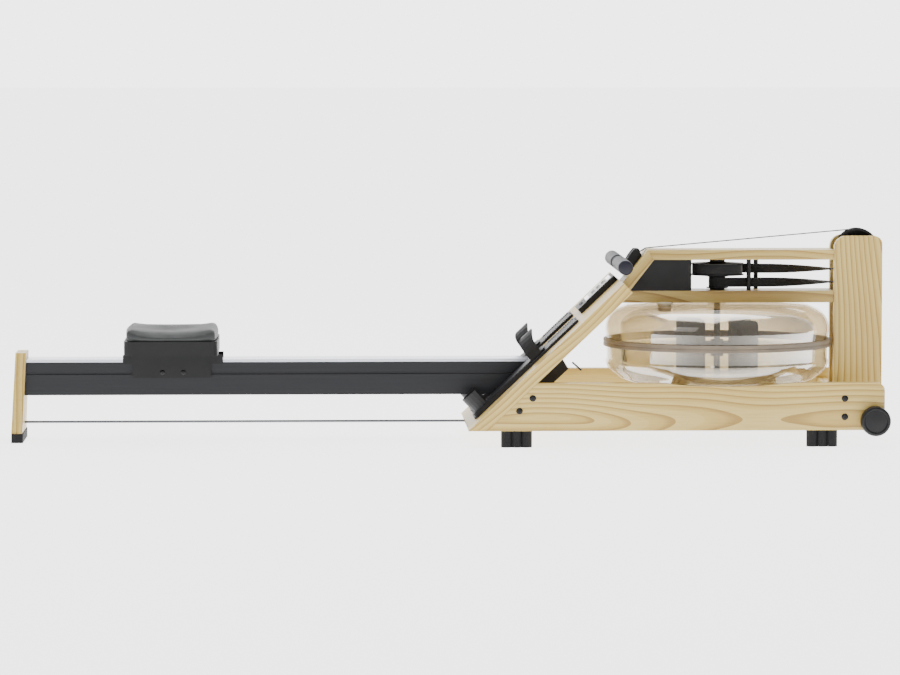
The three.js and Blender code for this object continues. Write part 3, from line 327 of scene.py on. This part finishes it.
# A threaded stud end stands out behind the footboard near the tank.
foot = Vector((0.293, -0.243, 0.206))
way = Vector((0.022, 0, -0.020))
stud = bmesh.new()
pose = Matrix.Translation(foot + way / 2) @ way.to_track_quat("Z", "Y").to_matrix().to_4x4()
bmesh.ops.create_cone(stud, cap_ends=True, segments=16, radius1=0.0022, radius2=0.0022, depth=way.length,
                      matrix=pose)
keep("board_stud", stud, bolt_black, "frame")


# ---- Transport wheels ------------------------------------------------------------------------------------
# Hard plastic wheels on the ends of the axle, to roll the machine when it is stood up. Each has a raised rim
# round a slightly sunk, faintly dished face.
wheel_plastic = moulded("soft_black_plastic", 0x101012, 0.42, 0.0014, 0.00008)
for side_name, side in (("right", -1), ("left", 1)):
    low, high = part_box(f"{side_name}_wheel")
    inner, outer = sorted((low[1], high[1]), key=abs)
    radius, width = (high[0] - low[0]) / 2, abs(outer - inner)
    bore, centre = 0.0063, middle(f"{side_name}_wheel")
    profile = [(0.0, width - 0.0012), (0.010, width - 0.0018), (radius - 0.0095, width - 0.0026),
               (radius - 0.0085, width - 0.0018), (radius - 0.0078, width - 0.0004), (radius - 0.0068, width),
               (radius - 0.0045, width), (radius - 0.0018, width - 0.0014), (radius, width - 0.005),
               (radius, 0.005), (radius - 0.0012, 0.002), (radius - 0.004, 0.0), (radius - 0.010, 0.0),
               (radius - 0.012, 0.006), (0.014, 0.006), (0.012, 0.0), (bore, 0.0), (bore, width - 0.006),
               (0.0, width - 0.006)]
    made = turn_on_lathe(bmesh.new(), [(r, side * h) for r, h in profile], "Y", (centre.x, inner, centre.z))
    disc = keep(f"{side_name}_transport_disc", made, wheel_plastic, f"{side_name}_transport_wheel")
    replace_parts(disc, f"{side_name}_wheel")


# ---- Tank and water --------------------------------------------------------------------------------------
# Two blown shells of clear polycarbonate, faintly smoky, are clamped rim to rim by a brown-grey band. The lower
# one is full of water, which stands just under the band.
def clear_shell(name, tint, body_share, rough):
    """Thin clear plastic: what is behind shows tinted, and it mirrors the studio at grazing angles."""
    made = bpy.data.materials.new(name)
    made.use_nodes = True
    tree = made.node_tree
    tree.nodes.clear()
    facing = add(tree, "ShaderNodeLayerWeight", {"Blend": 0.3}).outputs["Facing"]
    tinted = add(tree, "ShaderNodeValToRGB", {0: facing}, [
        (0.0, srgb(tint)), (0.75, srgb(tint, 0.97)), (1.0, srgb(tint, 0.8))]).outputs[0]
    through = add(tree, "ShaderNodeBsdfTransparent", {"Color": tinted}).outputs[0]
    haze = add(tree, "ShaderNodeBsdfDiffuse", {"Color": srgb(tint)}).outputs[0]
    body = add(tree, "ShaderNodeMixShader", {0: body_share, 1: through, 2: haze}).outputs[0]
    gloss = add(tree, "ShaderNodeBsdfGlossy", {"Color": (1, 1, 1, 1), "Roughness": rough}).outputs[0]
    edge_on = add(tree, "ShaderNodeLayerWeight", {"Blend": 0.5}).outputs["Facing"]
    mirror = add(tree, "ShaderNodeValToRGB", {0: edge_on}, [
        (0.0, (0.04, 0.04, 0.04, 1)), (1.0, (0.85, 0.85, 0.85, 1)), (0.5, (0.06, 0.06, 0.06, 1)),
        (0.75, (0.14, 0.14, 0.14, 1)), (0.9, (0.38, 0.38, 0.38, 1))]).outputs[0]
    both = add(tree, "ShaderNodeMixShader", {0: mirror, 1: body, 2: gloss}).outputs[0]
    add(tree, "ShaderNodeOutputMaterial", {"Surface": both})
    return made


def smooth_line(points, steps=5):
    """A smooth curve through a few (radius, height) points."""
    line = []
    ends = [points[0], *points, points[-1]]
    for a, b, c, d in zip(ends, ends[1:], ends[2:], ends[3:]):
        for k in range(steps):
            t = k / steps
            line.append(tuple(0.5 * (2 * q + (r - p) * t + (2 * p - 5 * q + 4 * r - s) * t * t
                                     + (3 * q - p - 3 * r + s) * t ** 3) for p, q, r, s in zip(a, b, c, d)))
    return [*line, points[-1]]


def moved_in(line, wall):
    """The same line moved towards the inside by the wall's thickness."""
    inner = []
    for i, (r, z) in enumerate(line):
        (r0, z0), (r1, z1) = line[max(i - 1, 0)], line[min(i + 1, len(line) - 1)]
        length = math.hypot(r1 - r0, z1 - z0)
        inner.append((max(r - (z1 - z0) / length * wall, 0.0), z + (r1 - r0) / length * wall))
    return inner


WALL = 0.004
polycarbonate = clear_shell("smoky_polycarbonate", 0xede6d8, 0.035, 0.03)
band_low, band_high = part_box("tank_band")
tank_axis = middle("tank_band") * Vector((1, 0, 0))
band_radius = (band_high[0] - band_low[0]) / 2
seam = (band_low[2] + band_high[2]) / 2
neck = band_radius - 0.0075
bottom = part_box("tank_lower")[0][2]
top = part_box("tank_upper")[1][2]

bowl = [(band_radius - 0.080, bottom + 0.002), (band_radius - 0.073, bottom + 0.006),
        (band_radius - 0.045, bottom + 0.014), (band_radius - 0.031, bottom + 0.025),
        (band_radius - 0.013, bottom + 0.041), (band_radius - 0.006, bottom + 0.056)]
outside = [(0.0, bottom), *smooth_line(bowl), (band_radius - 0.0058, bottom + 0.061),
           (band_radius - 0.009, bottom + 0.066), (neck - 0.001, bottom + 0.075), (neck, seam - 0.0006)]
inside = [(0.0, bottom + WALL), *moved_in(outside, WALL)[1:]]
shell = turn_on_lathe(bmesh.new(), [*outside, *reversed(inside)], "Z", tank_axis, 128)
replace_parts(keep("clear_lower_shell", shell, polycarbonate, "frame", 25), "tank_lower")

shoulder = [(band_radius - 0.0048, top - 0.066), (band_radius - 0.0065, top - 0.050),
            (band_radius - 0.014, top - 0.033), (band_radius - 0.028, top - 0.018),
            (band_radius - 0.054, top - 0.0065), (band_radius - 0.075, top - 0.0035), (band_radius - 0.15, top)]
outside = [(neck, seam + 0.0006), (neck, band_high[2] + 0.002), *smooth_line(shoulder), (0.022, top)]
shell = turn_on_lathe(bmesh.new(), [*outside, *reversed(moved_in(outside, WALL))], "Z", tank_axis, 128)
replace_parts(keep("clear_upper_shell", shell, polycarbonate, "frame", 25), "tank_upper")

lip = band_radius - 0.0095
ring = [(lip, band_low[2]), (band_radius - 0.001, band_low[2]), (band_radius, band_low[2] + 0.001),
        (band_radius, seam - 0.0022), (band_radius - 0.0012, seam - 0.0012),
        (band_radius - 0.0012, seam + 0.0012),
        (band_radius, seam + 0.0022), (band_radius, band_high[2] - 0.001), (band_radius - 0.001, band_high[2]),
        (lip, band_high[2])]
clamp = keep("clamp_band", turn_on_lathe(bmesh.new(), ring, "Z", tank_axis, 160),
             moulded("brown_grey_seal", 0x75695a, 0.45), "frame")
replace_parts(clamp, "tank_band")

CLEARANCE = 0.0005  # between the water and the shell
level = band_low[2] - 0.004
pool = [(0.0, bottom + WALL + CLEARANCE), *[(r - WALL - CLEARANCE, z + WALL) for r, z in smooth_line(bowl)],
        (neck - WALL - 0.0015, bottom + 0.078), (neck - WALL - 0.0015, level), (0.0, level)]
still_water = clear_shell("still_water", 0xf0f0e8, 0.01, 0.0)
keep("water", turn_on_lathe(bmesh.new(), pool, "Z", tank_axis, 128), still_water, "frame", 25)


# ---- Paddle ----------------------------------------------------------------------------------------------
# Four blades are moulded in dark grey nylon round the shaft that comes up through the tank's top. They stay
# smooth, so that the water slides off them.
paddle_grey = moulded("dark_paddle_nylon", 0x24221f, 0.3, 0.002, 0.00005)
dress(paddle_grey, 0.0008, "paddle")


# ---- Drum and pulleys ------------------------------------------------------------------------------------
# The strap drum stands between the decks on the paddle's shaft: a wide spool for the drive strap over a narrow
# one for the recoil strap. Both carry turns of webbing. Two flanged pulleys turn between the posts.
def webbing(name, code, pitch=0.0014):
    """Nylon webbing: crossing threads, drawn 1.4 mm apart, with a soft sheen."""
    made, tree, shader = finish(name, Roughness=0.8, Sheen_Weight=0.25, Sheen_Roughness=0.4)
    coords = add(tree, "ShaderNodeTexCoord").outputs["Object"]
    threads = [add(tree, "ShaderNodeTexWave", {"Vector": coords, "Scale": 0.3 / pitch, "Distortion": 0.5},
                   bands_direction=way).outputs["Fac"] for way in ("X", "DIAGONAL")]
    weave = add(tree, "ShaderNodeMath", {0: threads[0], 1: threads[1]}, operation="MULTIPLY").outputs[0]
    color = add(tree, "ShaderNodeValToRGB", {0: weave}, [(0.1, srgb(code)), (0.9, srgb(code, 2.0))]).outputs[0]
    tree.links.new(color, shader.inputs["Base Color"])
    relief = add(tree, "ShaderNodeBump", {"Height": weave, "Distance": 0.0003, "Strength": 0.6}).outputs[0]
    tree.links.new(relief, shader.inputs["Normal"])
    return made


black_web = webbing("black_nylon_webbing", 0x0e0e10)
drum_low, drum_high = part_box("strap_drum")
drum_rim = (drum_high[0] - drum_low[0]) / 2
drive_z = middle("top_pulley").z - 0.0491  # the height of the wide spool's middle
recoil_z = drive_z - 0.032  # and of the narrow one's
hub, bore = 0.0185, 0.0083
spool = [(bore, drum_low[2]), (hub, drum_low[2]), (hub, recoil_z - 0.0150), (0.026, recoil_z - 0.0148),
         (0.027, recoil_z - 0.0140), (0.027, recoil_z - 0.0125), (0.020, recoil_z - 0.0125),
         (0.020, recoil_z + 0.0125), (0.040, drive_z - 0.0150), (drum_rim - 0.001, drive_z - 0.0145),
         (drum_rim, drive_z - 0.0137), (drum_rim, drive_z - 0.0125), (0.052, drive_z - 0.0125),
         (0.052, drive_z + 0.0125), (drum_rim, drive_z + 0.0125), (drum_rim, drive_z + 0.0137),
         (drum_rim - 0.001, drive_z + 0.0145), (0.045, drive_z + 0.0150), (hub + 0.004, drive_z + 0.0175),
         (hub, drive_z + 0.019), (hub, drum_high[2]), (bore, drum_high[2])]
made = turn_on_lathe(bmesh.new(), spool, "Z", tank_axis)
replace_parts(keep("twin_spool", made, black_abs, "drum"), "strap_drum")
for name, low_r, high_r, height in (("wound_drive_strap", 0.0525, 0.0620, drive_z),
                                    ("wound_recoil_strap", 0.0203, 0.0210, recoil_z)):
    half = 0.0115
    turns = [(low_r, height - half)]
    count = max(2, round((high_r - low_r) / 0.0016))
    for k in range(count):
        radius = low_r + (high_r - low_r) * (k + 1) / count
        turns += [(radius - 0.0003, height - half - 0.0003 * (k % 2)), (radius, height - half + 0.0004)]
    turns += [(r, 2 * height - z) for r, z in reversed(turns)]
    keep(name, turn_on_lathe(bmesh.new(), turns, "Z", tank_axis), black_web, "drum")

for pulley, body, groove, rim in (("top_pulley", "top_wheel", 0.048, 0.052),
                                  ("recoil_pulley", "recoil_wheel", 0.025, 0.029)):
    half = 0.013
    web = groove * 0.62
    sheave = [(0.0063, -0.032), (0.012, -0.032), (0.013, -0.031), (0.013, -half), (web, -half + 0.004),
              (groove - 0.004, -half - 0.001), (groove - 0.002, -half - 0.003), (rim - 0.0008, -half - 0.003),
              (rim, -half - 0.0022), (rim, -half - 0.0008), (groove + 0.0004, -half + 0.0002),
              (groove, -half + 0.001)]
    sheave += [(r, -y) for r, y in reversed(sheave)]
    made = turn_on_lathe(bmesh.new(), sheave, "Y", middle(pulley))
    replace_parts(keep(f"{pulley}_sheave", made, black_abs, body), pulley)


# ---- Straps and bungee -----------------------------------------------------------------------------------
# Black nylon webbing 23 mm wide. The drive strap runs from the drum round the top pulley to the handle, the
# recoil strap from the small spool over the lower pulley to the bungee, which lies under the tank.
def lay_webbing(name, stations, width, thick, look, body):
    """A strip of webbing through (point, width direction) stations, with softly rounded edges."""
    made = bmesh.new()
    last = len(stations) - 1
    bmesh.ops.create_grid(made, x_segments=last, y_segments=4, size=0.5)
    points = [Vector(point) for point, _ in stations]
    for vert in made.verts:
        number = round((vert.co.x + 0.5) * last)
        along = (points[min(number + 1, last)] - points[max(number - 1, 0)]).normalized()
        across = Vector(stations[number][1])
        across = (across - along * along.dot(across)).normalized()
        vert.co = points[number] + across * vert.co.y * width
    piece = keep(name, made, look, body, 60)
    body_of_strap = piece.modifiers.new("thickness", "SOLIDIFY")
    body_of_strap.thickness = thick
    body_of_strap.offset = 0
    soft = piece.modifiers.new("soft_edges", "BEVEL")
    soft.width = thick * 0.35
    soft.segments = 2
    soft.limit_method = "ANGLE"
    return piece


def apply_modifiers(piece):
    """Makes the modifiers' result the piece's own mesh."""
    shape = bpy.data.meshes.new_from_object(piece.evaluated_get(bpy.context.evaluated_depsgraph_get()))
    piece.modifiers.clear()
    piece.data = shape
    return piece


dress(black_web, 0.0003, "drive_strap", "recoil_strap")
braid = webbing("braided_bungee_cover", 0x1c1c1f, 0.0011)
dress(braid, 0.0002, "bungee")
low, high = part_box("handle_strap")
grip_end = Vector((low[0] + 0.0004, 0, low[2] + 0.0008))
deck_end = Vector((high[0] + 0.0008, 0, high[2] - 0.0004))
STEPS = 40
SAG = Vector((0, 0, 0.0015))
stations = []
for k in range(STEPS + 1):
    t = k / STEPS
    stations.append((deck_end.lerp(grip_end, t) - SAG * math.sin(math.pi * t), (0, 1, 0)))
pull = apply_modifiers(lay_webbing("strap_to_handle", stations, 0.023, 0.0016, black_web, None))
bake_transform(pull)
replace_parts(pull, "handle_strap")


# ---- Handle ----------------------------------------------------------------------------------------------
# A straight tube with two closed-cell foam sleeves and moulded end caps. The strap is clamped round a short hub
# at its middle. The foam is soft and open at the surface, so it looks matt and slightly mottled.
foam = moulded("grey_closed_cell_foam", 0x3f4045, 0.88, 0.0022, 0.0006, 0.2, 0.25)
cap_plastic = moulded("navy_cap_plastic", 0x161622, 0.4, 0.0014, 0.00005)
bar = middle("handle_bar")
half_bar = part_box("handle_bar")[1][1]
grip_radius = 0.018
core = [(0.0, half_bar), (0.0125, half_bar), (0.0160, half_bar - 0.0008), (0.0176, half_bar - 0.0025),
        (grip_radius, half_bar - 0.0045), (grip_radius, half_bar - 0.0093), (0.012, half_bar - 0.0097),
        (0.012, 0.029), (0.0142, 0.0285), (0.015, 0.0275), (0.015, 0.0135), (0.0132, 0.0125), (0.0132, 0.0)]
made = turn_on_lathe(bmesh.new(), [*core, *[(r, -y) for r, y in reversed(core)]], "Y", bar, 64)
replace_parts(keep("handle_tube", made, cap_plastic, "handle"), "handle_bar")
for side_name, side in (("right", -1), ("left", 1)):
    inner, outer = sorted((abs(v[1]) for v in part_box(f"{side_name}_grip")))
    sleeve = [(0.0124, inner), (grip_radius - 0.0022, inner), (grip_radius - 0.0006, inner + 0.001),
              (grip_radius, inner + 0.003)]
    for k in range(1, 24):
        y = inner + 0.003 + (outer - inner - 0.004) * k / 24
        sleeve.append((grip_radius - 0.0001 - 0.0003 * (0.5 + 0.5 * math.sin(k * 1.9)), y))
    sleeve += [(grip_radius, outer - 0.001), (grip_radius - 0.0006, outer), (0.0124, outer)]
    made = turn_on_lathe(bmesh.new(), [(r, side * y) for r, y in sleeve], "Y", bar, 64)
    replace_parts(keep(f"{side_name}_foam_sleeve", made, foam, "handle"), f"{side_name}_grip")


# ---- Footboard fittings: frame of the slope --------------------------------------------------------------
# The monitor and the foot stretchers are screwed flat to the sloping board, so they are made lying flat, with X
# up the slope and Z out of the board, and then set on it.
BOARD = 0.031  # thickness
board_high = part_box("footboard")[1]
board_top = Vector((board_high[0] - BOARD * math.sin(SLOPE), 0, board_high[2]))
board_foot = Vector((board_top.x - board_top.z / math.tan(SLOPE), 0, 0))
ON_BOARD = Matrix.Translation(board_foot) @ Matrix.Rotation(-SLOPE, 4, "Y")
board_end = board_top.z / math.sin(SLOPE)


def block_between(made, low, high):
    """A box between two corners."""
    low, high = Vector(low), Vector(high)
    shape = Matrix.Translation((low + high) / 2) @ Matrix.Diagonal((*(high - low), 1))
    return bmesh.ops.create_cube(made, size=1, matrix=shape)["verts"]


def set_on_board(made):
    """Turns a mesh made flat onto the slope."""
    bmesh.ops.transform(made, matrix=ON_BOARD, verts=made.verts)
    return made


def round_edges(made, radius, steps=3):
    """Rounds every edge between faces that meet at an angle."""
    edges = [e for e in made.edges if len(e.link_faces) == 2 and e.calc_face_angle() > 0.6]
    bmesh.ops.bevel(made, geom=edges, offset=radius, segments=steps, affect="EDGES", profile=0.5,
                    material=-1)
    return made


# ---- Monitor ---------------------------------------------------------------------------------------------
# A flat ABS box, screwed on at the top of the board. A glossy acrylic window covers a grey liquid-crystal
# display with three rows of segments, and two rubber keys stand under it.
window_gloss, tree, shader = finish("smoked_acrylic_window", Base_Color=srgb(0x2e3032), Roughness=0.06,
                                    Coat_Weight=1.0, Coat_Roughness=0.03)
smear = add(tree, "ShaderNodeTexNoise", {"Scale": 30.0, "Detail": 3.0}).outputs["Fac"]
smeared = add(tree, "ShaderNodeValToRGB", {0: smear}, [
    (0.3, (0.05, 0.05, 0.05, 1)), (0.8, (0.16, 0.16, 0.16, 1))]).outputs[0]
tree.links.new(smeared, shader.inputs["Roughness"])
display = moulded("grey_green_display", 0x8a9184, 0.3, 0.001, 0.00001, 0.06)
case_top = 0.0138
case_low, case_high = board_end - 0.124, board_end - 0.002
made = bmesh.new()
block_between(made, (case_low + 0.030, -0.052, case_top - 0.0005),
              (case_high - 0.008, 0.052, case_top + 0.0012))
keep("monitor_window", set_on_board(round_edges(made, 0.0006)), window_gloss, "frame")
made = bmesh.new()
block_between(made, (case_low + 0.042, -0.040, case_top + 0.0010),
              (case_high - 0.020, 0.040, case_top + 0.0016))
keep("monitor_display", set_on_board(made), display, "frame")
digits = bmesh.new()
for row in range(3):
    for k in range(6):
        x, y = case_low + 0.052 + row * 0.017, -0.032 + k * 0.0115
        for dx, dy, long, wide in ((0, 0, 0.0016, 0.007), (0.010, 0, 0.0016, 0.007),
                                   (0.001, 0.0072, 0.0085, 0.0015), (0.001, -0.0015, 0.0085, 0.0015)):
            block_between(digits, (x + dx, y + dy, case_top + 0.0015),
                          (x + dx + long, y + dy + wide, case_top + 0.0018))
keep("monitor_digits", set_on_board(digits), black_abs, "frame")
key_rubber = moulded("grey_key_rubber", 0x6e6e72, 0.7, 0.0012, 0.00005)
dress(key_rubber, 0.0008, "monitor_button_1", "monitor_button_2")


# ---- Foot stretchers -------------------------------------------------------------------------------------
# Black nylon plates are screwed to the board, with grey toothed strips up both sides that the heel piece locks
# into. The heel pieces slide on them, and a webbing strap goes over each foot.
plate_nylon = moulded("charcoal_plate_nylon", 0x19191d, 0.5)
heel_nylon = moulded("charcoal_heel_nylon", 0x18181b, 0.5)
tooth_grey = moulded("pale_grey_abs", 0x86868a, 0.5)
dress(plate_nylon, 0.0007, "right_foot_plate", "left_foot_plate")
dress(heel_nylon, 0.0007, "right_heel_slide", "left_heel_slide")
dress(black_web, 0.0004, "right_foot_strap", "left_foot_strap")
plate_middle = abs(middle("right_foot_plate").y)
plate_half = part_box("left_foot_plate")[1][1] - plate_middle
PLATE_TOP = 0.0063  # above the board
for side_name, side in (("right", -1), ("left", 1)):
    teeth = bmesh.new()
    strip_low, strip_high = board_end - 0.235, board_end - 0.147
    for edge in (-1, 1):
        y = side * plate_middle + edge * (plate_half - 0.0065)
        for k in range(15):
            x = strip_low + 0.004 + k * 0.0057
            block_between(teeth, (x, y - 0.0042, PLATE_TOP + 0.0008),
                          (x + 0.0026, y + 0.0042, PLATE_TOP + 0.0026))
        block_between(teeth, (strip_low, y - 0.005, PLATE_TOP), (strip_high, y + 0.005, PLATE_TOP + 0.0009))
    keep(f"{side_name}_adjuster_teeth", set_on_board(teeth), tooth_grey, "frame")
    # Two screws at the top hold the plate to the board, past the end of the heel piece's travel.
    screws = bmesh.new()
    for y in (-0.014, 0.014):
        dome = [(0.0, 0.0020), (0.0018, 0.0020), (0.0030, 0.0018), (0.0042, 0.0002), (0.0042, 0.0), (0.0, 0.0)]
        seat = (strip_high + 0.004, side * plate_middle + y, PLATE_TOP + 0.0002)
        turn_on_lathe(screws, dome, "Z", seat, 24)
    keep(f"{side_name}_plate_screws", set_on_board(screws), steel, "frame")


# ---- Seat ------------------------------------------------------------------------------------------------
# A moulded black carriage runs on the rail. The seat is a stiff shell under a soft saddle of closed-cell foam
# with a matt grey polyurethane skin, hollow under each sit bone and low along both sides.
dress(black_abs, 0.0025, "seat_shell", "seat_carriage")
skin_grey = moulded("grey_polyurethane_skin", 0x333535, 0.62, 0.0016, 0.00012, 0.10, 0.15)
seat_low, seat_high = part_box("seat_pad")
seat_middle = middle("seat_pad")
half_long = (seat_high[0] - seat_low[0]) / 2
half_wide = (seat_high[1] - seat_low[1]) / 2
saddle = bmesh.new()
ACROSS, ALONG = 72, 60
bmesh.ops.create_grid(saddle, x_segments=ALONG, y_segments=ACROSS, size=1)
bmesh.ops.solidify(saddle, geom=list(saddle.faces), thickness=0.4)
top_side = max(v.co.z for v in saddle.verts)
for vert in saddle.verts:
    u, v = vert.co.x, vert.co.y
    is_top = vert.co.z > top_side - 0.1
    # A square grid drawn to a rounded outline.
    squeeze = 1 - 0.05 * (u * u * v * v) ** 0.9
    x = seat_middle.x + half_long * u * squeeze * (1 - 0.02 * v * v)
    y = seat_middle.y + half_wide * v * squeeze
    # High at both ends and low along both sides, with a ridge between the hollows for the sit bones.
    side_dip = 0.0195 * (1 - u * u) * abs(v) ** 2.4
    hollow = 0.0060 * math.exp(-((abs(v) - 0.45) / 0.24) ** 2 - (u / 0.6) ** 2)
    roll = 0.0055 * max(0.0, (max(abs(u), abs(v)) - 0.86) / 0.14) ** 2.5
    if is_top:
        z = seat_high[2] + 0.0025 - side_dip - hollow - roll
    else:
        z = seat_low[2] + 0.0006
    vert.co = (x, y, z)
bmesh.ops.recalc_face_normals(saddle, faces=saddle.faces)
bmesh.ops.smooth_vert(saddle, verts=[v for v in saddle.verts if not v.is_boundary], factor=0.25,
                      use_axis_x=False, use_axis_y=False, use_axis_z=True)
pad = keep("saddle_pad", saddle, skin_grey, "seat", 60)


def swell(piece, voxel, pressure, cap):
    """Fills a pad with air as a cloth bag, lets no point move further than cap, and keeps the result."""
    remesh = piece.modifiers.new("even_faces", "REMESH")
    remesh.mode = "VOXEL"
    remesh.voxel_size = voxel
    apply_modifiers(piece)
    start = [v.co.copy() for v in piece.data.vertices]
    bag = piece.modifiers.new("bag", "CLOTH")
    bag.settings.use_pressure = True
    bag.settings.uniform_pressure_force = pressure
    bag.settings.effector_weights.gravity = 0
    bag.point_cache.frame_start, bag.point_cache.frame_end = 1, 20
    for number in range(1, 21):
        bpy.context.scene.frame_set(number)
    apply_modifiers(piece)
    bpy.context.scene.frame_set(1)
    for vert, old in zip(piece.data.vertices, start):
        step = vert.co - old
        if step.length > cap:
            vert.co = old + step * (cap / step.length)
    rounded = piece.modifiers.new("rounded", "SUBSURF")
    rounded.levels = rounded.render_levels = 1
    piece.data.shade_smooth()
    return apply_modifiers(piece)


swell(pad, 0.005, 3.0, 0.003)
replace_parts(pad, "seat_pad")

# Two bolts go through each side of the carriage.
carriage_low, carriage_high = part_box("seat_carriage")
for side_name, side in (("right", -1), ("left", 1)):
    heads = bmesh.new()
    for place in (-0.0255, 0.0255):
        bolt_head(heads, middle("seat_carriage").x + place, carriage_low[2] + 0.013,
                  side * carriage_high[1], side, 0.0062)
    keep(f"{side_name}_carriage_bolts", heads, bolt_black, "seat")
